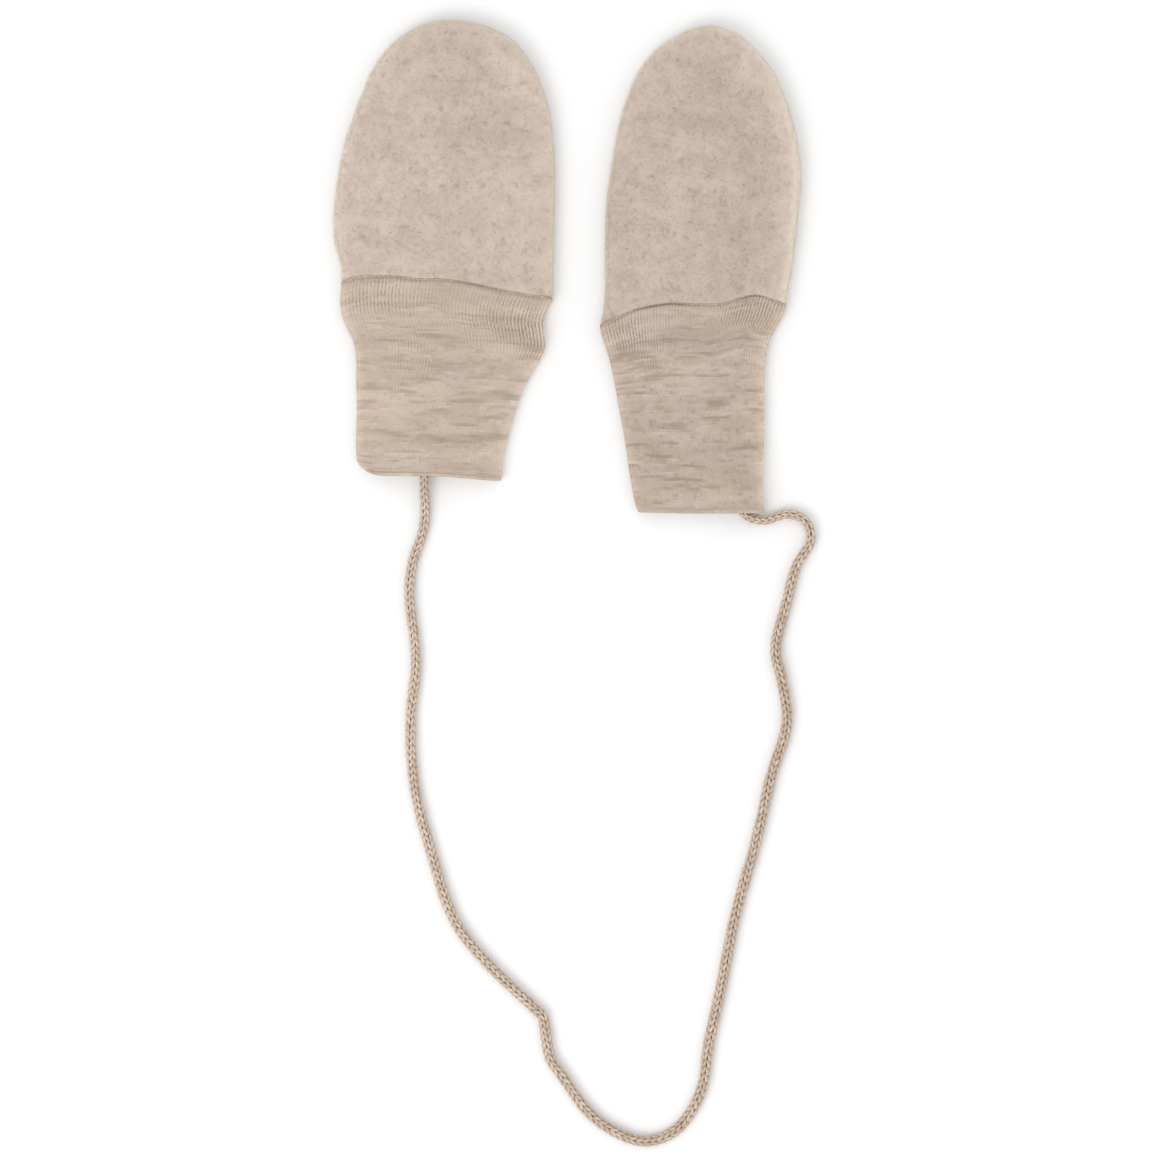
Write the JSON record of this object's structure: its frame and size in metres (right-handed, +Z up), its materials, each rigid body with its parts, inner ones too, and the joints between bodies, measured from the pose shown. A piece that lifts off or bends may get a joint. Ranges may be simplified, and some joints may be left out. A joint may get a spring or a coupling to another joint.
{
  "type": "pair of baby mittens",
  "caption": "Thumbless baby mittens of brushed wool fleece with long ribbed cuffs, joined by a soft knitted cord and laid flat.",
  "frame": {"origin": "on the surface that the mittens lie on, in the middle of the two mittens without their cord", "axes": "+Y from the mouths of the cuffs towards the fingertips, +X to the right of someone who looks down on them, +Z up from the surface"},
  "size_m": [0.1592, 0.3715, 0.009],
  "materials": {
    "fleece": "brushed wool fleece, matt, with a short nap",
    "rib_knit": "fine 1x1 rib knit of melange wool, matt",
    "cord": "knitted wool cord, matt"
  },
  "bodies": {
    "root": {"left_hand_front": "fleece", "left_hand_back": "fleece", "left_cuff": "rib_knit", "right_hand_front": "fleece", "right_hand_back": "fleece", "right_cuff": "rib_knit", "cord": "cord"}
  },
  "joints": []
}
